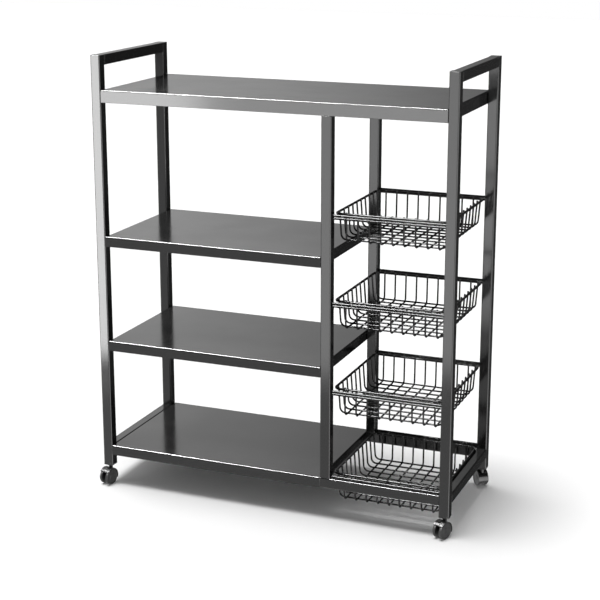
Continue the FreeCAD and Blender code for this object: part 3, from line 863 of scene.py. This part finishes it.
@dataclass(frozen=True)
class Castor:
    """A twin-wheel castor: hood over two wheels, with a boss that turns on the stem."""

    corner: Corner
    wheel_radius: float = 20 * MM
    wheel_width: float = 7 * MM
    hub_half: float = 5.2 * MM
    gap: float = 0.3 * MM
    bore: float = 2.05 * MM
    bore_wall: float = 1.4 * MM
    shoulder: float = 1.3 * MM
    shoulder_cut: float = 0.3
    dish: float = 0.8 * MM
    cap_drop: float = 0.16 * MM
    dish_out: float = 15.8 * MM
    dish_in: float = 7.2 * MM
    shield_in: float = 20.6 * MM
    shield_out: float = 22.5 * MM
    shield_front: float = 42.0
    shield_sweep: float = 158.0
    core_in: float = 2.75 * MM
    core_out: float = 21.5 * MM
    hub_radius: float = 5.5 * MM
    boss_radius: float = 5 * MM
    boss_top: float = 46 * MM
    boss_foot: float = 24 * MM
    pin_bore: float = 3.05 * MM
    hood_edge: float = 0.5 * MM
    wheel_edge: float = 0.2 * MM
    shield_steps: int = 30
    hub_steps: int = 32
    wheel_steps: int = 56

    def wheel_node(self, side: WheelSide) -> str:
        """Return the name of a wheel's node."""
        return "%s_%s_wheel" % (self.corner.value, side.name.lower())

    def frame_of(self) -> tuple[Matrix, Vector]:
        """Return the castor's own frame and the middle of its axle in it.

        Returns:
            The frame, under the stem with X the way it trails and Y along the axle, and the axle's middle.
        """
        stem = Vector(JOINTS[self.corner.value + "_swivel"]["pos_m"])
        roll = JOINTS[self.wheel_node(WheelSide.INNER) + "_roll"]
        away = Vector(roll["pos_m"]) - stem
        heading = math.atan2(away.y, away.x)
        trail = math.hypot(away.x, away.y)
        own = Matrix.Translation((stem.x, stem.y, 0)) @ Matrix.Rotation(heading, 4, "Z")
        return own, Vector((trail, 0, roll["pos_m"][2]))

    def ring_profile(self, axle: Vector, points: Sequence[tuple[float, float]]) -> list[Vector]:
        """Turn pairs of radius and place along the axle into points beside the axle."""
        return [axle + Vector((radius, along, 0)) for radius, along in points]

    def hood(self, own: Matrix, axle: Vector) -> bpy.types.Object:
        """Make the hood: shield, core between the wheels, hub and stem boss.

        Args:
            own: The castor's own frame.
            axle: The middle of the axle in it.

        Returns:
            The hood.
        """
        mesh = bmesh.new()
        half = self.hub_half + 2 * self.gap + self.wheel_width
        start, sweep = math.radians(self.shield_front), math.radians(self.shield_sweep)
        back = Vector((0, -1, 0))
        inner, outer, web = self.shield_in, self.shield_out, self.hub_half
        shell = [(inner, -half), (outer, -half), (outer, half), (inner, half)]
        plate = [(self.core_in, -web), (self.core_out, -web), (self.core_out, web), (self.core_in, web)]
        for profile in (shell, plate):
            revolve(mesh, self.ring_profile(axle, profile), axle, back, start, sweep, self.shield_steps)
        hub = [(self.bore, -web), (self.hub_radius, -web), (self.hub_radius, web), (self.bore, web)]
        revolve(mesh, self.ring_profile(axle, hub), axle, back, 0.0, math.tau, self.hub_steps)
        boss = [(self.pin_bore, self.boss_foot), (self.boss_radius, self.boss_foot),
                (self.boss_radius, self.boss_top), (self.pin_bore, self.boss_top)]
        revolve(mesh, [Vector((radius, 0, height)) for radius, height in boss], Vector(), Vector((0, 0, 1)),
                0.0, math.tau, self.hub_steps)
        bmesh.ops.transform(mesh, matrix=own, verts=mesh.verts[:])
        piece = new_piece(self.corner.value + "_hood_moulded", mesh)
        self.soften(piece, self.hood_edge)
        return piece

    def wheel(self, side: WheelSide, own: Matrix, axle: Vector) -> bpy.types.Object:
        """Make one wheel: tread with round shoulders, dished face, hub cap and blind bore.

        Args:
            side: Side of the hood on which it runs.
            own: The castor's own frame.
            axle: The middle of the axle in it.

        Returns:
            The wheel.
        """
        near = self.hub_half + self.gap
        face = near + self.wheel_width
        rim, bow = self.wheel_radius, self.shoulder
        cut = self.shoulder_cut * bow
        cap, well, end = face - self.cap_drop, face - self.dish, face - self.bore_wall
        outline = [
            (self.bore, near), (rim - bow, near), (rim - cut, near + cut), (rim, near + bow),
            (rim, face - bow), (rim - cut, face - cut), (rim - bow, face),
            (self.dish_out + self.dish, face), (self.dish_out, well),
            (self.dish_in + self.dish, well), (self.dish_in, cap),
            (0.0, cap), (0.0, end), (self.bore, end)]
        profile = [axle + Vector((radius, side.value * along, 0)) for radius, along in outline]
        mesh = bmesh.new()
        revolve(mesh, profile, axle, Vector((0, 1, 0)), 0.0, math.tau, self.wheel_steps)
        bmesh.ops.transform(mesh, matrix=own, verts=mesh.verts[:])
        piece = new_piece(self.wheel_node(side) + "_turned", mesh)
        self.soften(piece, self.wheel_edge)
        return piece

    def soften(self, piece: bpy.types.Object, width: float) -> None:
        """Round a moulded piece's sharp edges a little.

        Args:
            piece: The piece.
            width: Width of the rounding.
        """
        bevel = piece.modifiers.new("soft_edges", "BEVEL")
        bevel.width = width
        bevel.segments = 2
        bevel.limit_method = "ANGLE"
        bevel.angle_limit = SHARP_ANGLE
        bevel.harden_normals = True

    def build(self, finishes: Finishes) -> None:
        """Make the hood and wheels and dress the axle.

        Args:
            finishes: Every finish of the rack.
        """
        own, axle = self.frame_of()
        settle(self.hood(own, axle), Slot.HOOD, finishes, self.corner.value + "_castor_hood")
        for side in WheelSide:
            settle(self.wheel(side, own, axle), Slot.WHEEL, finishes, self.wheel_node(side))
        dress(self.corner.value + "_axle", finishes.by_slot[Slot.ZINC])


# Studio: floor, surroundings, lights and camera


@dataclass(frozen=True)
class Panel:
    """A soft bright panel of the surroundings, in degrees as seen from the rack.

    The bearing turns from the front (-Y) towards the left (-X).
    """

    bearing: float
    half_width: float
    low: float
    high: float
    soft: float
    radiance: float


@dataclass(frozen=True)
class Softbox:
    """A large lamp that stands beside the rack and lights only the pieces named."""

    name: str
    centre: tuple[float, float, float]
    target: tuple[float, float, float]
    width: float
    height: float
    radiance: float
    lit: tuple[str, ...]


@dataclass(frozen=True)
class KeyLight:
    """A distant key light, placed in degrees as a panel is, that lights either the floor or the rack."""

    name: str
    bearing: float
    rise: float
    angle: float
    power: float
    on_floor: bool

    def way(self) -> Vector:
        """Work out the way that its light goes.

        Returns:
            The way, one metre long.
        """
        bearing, rise = math.radians(self.bearing), math.radians(self.rise)
        level = Vector((math.sin(bearing), math.cos(bearing), 0)) * math.cos(rise)
        return level - Vector((0, 0, math.sin(rise)))


@dataclass(frozen=True)
class Studio:
    """Plain pale floor under soft light."""

    floor_half: float = 14.0
    floor_colour: float = 0.86
    floor_roughness: float = 0.9
    floor_gloss: float = 0.1
    background: float = 1.0
    surround: float = 0.07
    floor_glow: float = 0.9
    glow_high: float = -2.0
    glow_low: float = -8.0
    panels: tuple[Panel, ...] = (
        Panel(bearing=130, half_width=21, low=6, high=60, soft=22, radiance=0.9),
        Panel(bearing=-60, half_width=20, low=-30, high=18, soft=8, radiance=4.0),
        Panel(bearing=52, half_width=20, low=10, high=40, soft=10, radiance=0.8),
        Panel(bearing=-120, half_width=18, low=16, high=50, soft=10, radiance=0.25),
    )
    dark_bearing: float = -164.0
    dark_half_width: float = 18.0
    dark_soft: float = 14.0
    ceiling_low: float = 55.0
    ceiling_soft: float = 12.0
    ceiling: float = 1.0
    key_distance: float = 3.0
    key_count: int = 5
    key_bearing: float = 28.0
    key_step: float = 13.0
    key_rise: float = 60.0
    key_angle: float = 10.0
    key_power: float = 3.2
    floor_key: KeyLight = KeyLight("floor_key", bearing=60, rise=81, angle=24, power=2.6, on_floor=True)
    softboxes: tuple[Softbox, ...] = (
        Softbox("left_post_softbox", centre=(-0.95, -1.05, 0.67), target=(-0.44, -0.17, 0.67),
                width=0.6, height=1.3, radiance=14.0, lit=("left_front_post",)),
        Softbox("right_posts_softbox", centre=(-0.15, -1.15, 0.67), target=(0.3, -0.17, 0.67),
                width=1.2, height=1.3, radiance=3.0,
                lit=("centre_front_post", "right_front_post", "right_rear_post", "centre_rear_post")),
        Softbox("top_shelf_softbox", centre=(-0.4, -1.1, 0.8), target=(0.0, -0.17, 0.9),
                width=1.7, height=0.7, radiance=5.0, lit=("top_shelf",)),
        Softbox("top_left_softbox", centre=(-0.95, -1.0, 0.8), target=(-0.4, -0.17, 0.9),
                width=0.7, height=0.7, radiance=7.0, lit=("top_shelf",)),
    )

    def floor(self) -> bpy.types.Object:
        """Lay the floor; glossy pieces mirror the glow of the surroundings in its place.

        Returns:
            The floor.
        """
        mesh = bmesh.new()
        bmesh.ops.create_grid(mesh, x_segments=1, y_segments=1, size=self.floor_half)
        data = bpy.data.meshes.new("studio_floor")
        mesh.to_mesh(data)
        mesh.free()
        floor = bpy.data.objects.new("studio_floor", data)
        bpy.context.scene.collection.objects.link(floor)
        sheet = FinishSheet("studio_floor")
        sheet.feed("Base Color", shade(self.floor_colour))
        sheet.feed("Roughness", self.floor_roughness)
        sheet.feed("Specular IOR Level", self.floor_gloss)
        data.materials.append(sheet.material)
        floor.visible_glossy = False
        return floor

    def apart(self, sheet: ShaderSheet, bearing: Socket, middle: float) -> Socket:
        """Measure how far a bearing is from a middle one.

        Args:
            sheet: Sheet that the nodes go into.
            bearing: Socket of the bearing, in degrees.
            middle: The middle bearing, in degrees.

        Returns:
            The angle between them, in degrees.
        """
        turned = sheet.math("SUBTRACT", bearing, middle)
        wrapped = sheet.add("ShaderNodeMath", {0: turned, 1: -180.0, 2: 180.0}, operation="WRAP").outputs[0]
        return sheet.math("ABSOLUTE", wrapped)

    def surroundings(self) -> None:
        """Make the surroundings: white where the camera looks, dim with soft panels elsewhere."""
        world = bpy.data.worlds.new("studio")
        world.use_nodes = True
        bpy.context.scene.world = world
        sheet = ShaderSheet(world.node_tree)
        looking = sheet.add("ShaderNodeTexCoord").outputs["Generated"]
        way = sheet.add("ShaderNodeSeparateXYZ", {0: looking}).outputs
        rise = sheet.math("MULTIPLY", sheet.math("ARCSINE", way["Z"]), math.degrees(1))
        left = sheet.math("MULTIPLY", way["X"], -1.0)
        front = sheet.math("MULTIPLY", way["Y"], -1.0)
        bearing = sheet.math("MULTIPLY", sheet.math("ARCTAN2", left, front), math.degrees(1))
        total = sheet.ramp(rise, self.ceiling_low, self.ceiling_low + self.ceiling_soft,
                           self.surround, self.ceiling)
        beyond = sheet.ramp(self.apart(sheet, bearing, self.dark_bearing), self.dark_half_width,
                            self.dark_half_width + self.dark_soft)
        glow = sheet.math("MULTIPLY", sheet.ramp(rise, self.glow_high, self.glow_low), beyond)
        total = sheet.math("ADD", total, sheet.math("MULTIPLY", glow, self.floor_glow))
        for panel in self.panels:
            off = self.apart(sheet, bearing, panel.bearing)
            beside = sheet.ramp(off, panel.half_width + panel.soft, panel.half_width)
            above = sheet.ramp(rise, panel.low - panel.soft / 2, panel.low + panel.soft / 2)
            below = sheet.ramp(rise, panel.high + panel.soft / 2, panel.high - panel.soft / 2)
            lit = sheet.math("MULTIPLY", sheet.math("MULTIPLY", above, below), beside)
            total = sheet.math("ADD", total, sheet.math("MULTIPLY", lit, panel.radiance))
        white = shade(1.0)
        soft = sheet.add("ShaderNodeBackground", {"Color": white, "Strength": total}).outputs[0]
        seen = sheet.add("ShaderNodeBackground", {"Color": white, "Strength": self.background}).outputs[0]
        camera_ray = sheet.add("ShaderNodeLightPath").outputs["Is Camera Ray"]
        mixed = sheet.add("ShaderNodeMixShader", {0: camera_ray, 1: soft, 2: seen}).outputs[0]
        sheet.tree.links.new(mixed, sheet.tree.nodes["World Output"].inputs["Surface"])

    def lamp(self, name: str, kind: str, centre: Vector, way: Vector) -> bpy.types.Object:
        """Hang a lamp.

        Args:
            name: Name of the lamp.
            kind: Blender's type of light.
            centre: Where it hangs.
            way: Where it shines.

        Returns:
            The lamp.
        """
        lamp = bpy.data.objects.new(name, bpy.data.lights.new(name, kind))
        lamp.location = centre
        lamp.rotation_euler = way.to_track_quat("-Z", "Y").to_euler()
        lamp.visible_camera = False
        bpy.context.scene.collection.objects.link(lamp)
        return lamp

    def rack_keys(self) -> list[KeyLight]:
        """Place the row of key lights whose glints run along the rack's front edges.

        Returns:
            The key lights.
        """
        bearings = [self.key_bearing + number * self.key_step for number in range(self.key_count)]
        rise, angle, power = self.key_rise, self.key_angle, self.key_power
        return [KeyLight("rack_key_%d" % number, bearing, rise, angle, power, on_floor=False)
                for number, bearing in enumerate(bearings, 1)]

    def light_only(self, lamp: bpy.types.Object, pieces: Sequence[bpy.types.Object]) -> None:
        """Let a lamp light only some pieces.

        Args:
            lamp: The lamp.
            pieces: The pieces that it lights.
        """
        lit = bpy.data.collections.new(lamp.name + "_lit")
        for piece in pieces:
            lit.objects.link(piece)
        lamp.light_linking.receiver_collection = lit

    def lights(self, floor: bpy.types.Object) -> None:
        """Hang the key lights and the softboxes.

        Args:
            floor: The floor, which has a key light of its own.
        """
        rack = [piece for piece in bpy.context.scene.objects if piece.type == "MESH" and piece != floor]
        for key in self.rack_keys() + [self.floor_key]:
            way = key.way()
            sun = self.lamp(key.name, "SUN", -way * self.key_distance, way)
            sun.data.energy = key.power
            sun.data.angle = math.radians(key.angle)
            self.light_only(sun, [floor] if key.on_floor else rack)
        for box in self.softboxes:
            centre = Vector(box.centre)
            lamp = self.lamp(box.name, "AREA", centre, Vector(box.target) - centre)
            lamp.data.shape = "RECTANGLE"
            lamp.data.size = box.width
            lamp.data.size_y = box.height
            lamp.data.energy = box.radiance * math.pi * box.width * box.height
            self.light_only(lamp, [frame["nodes"][node] for node in box.lit])

    def build(self) -> None:
        """Set the studio up."""
        floor = self.floor()
        self.surroundings()
        self.lights(floor)
        view = bpy.context.scene.view_settings
        view.view_transform = "Standard"
        view.look = "None"
        LOG.info("studio set up")


@dataclass(frozen=True)
class PhotoCamera:
    """The camera at the photograph's angle; yaw turns from the back (+Y) to the right."""

    place: tuple[float, float, float] = (1.3155, -3.2205, 1.4458)
    yaw: float = -22.049
    pitch: float = -14.345
    lens: float = 88.75
    shift_y: float = -0.05

    def build(self) -> None:
        """Set the camera up and make it the scene's."""
        data = bpy.data.cameras.new("photo_camera")
        data.lens = self.lens
        data.shift_y = self.shift_y
        camera = bpy.data.objects.new("photo_camera", data)
        camera.location = self.place
        camera.rotation_euler = (math.radians(90 + self.pitch), 0, math.radians(-self.yaw))
        bpy.context.scene.collection.objects.link(camera)
        bpy.context.scene.camera = camera
        LOG.info("camera set up")


def main() -> None:
    """Build the rack's looks, piece by piece."""
    logging.basicConfig(level=logging.INFO, format="%(message)s")
    finishes = Finishes.mix()
    TubeFrame().build(finishes)
    for level in (1, 2, 3):
        for end in ("front", "rear"):
            RestRod(level, end).build(finishes)
    for number in (1, 2, 3, 4):
        WireBasket(number).build(finishes)
    for corner in Corner:
        Castor(corner).build(finishes)
    Studio().build()
    PhotoCamera().build()


if __name__ == "__main__":
    main()
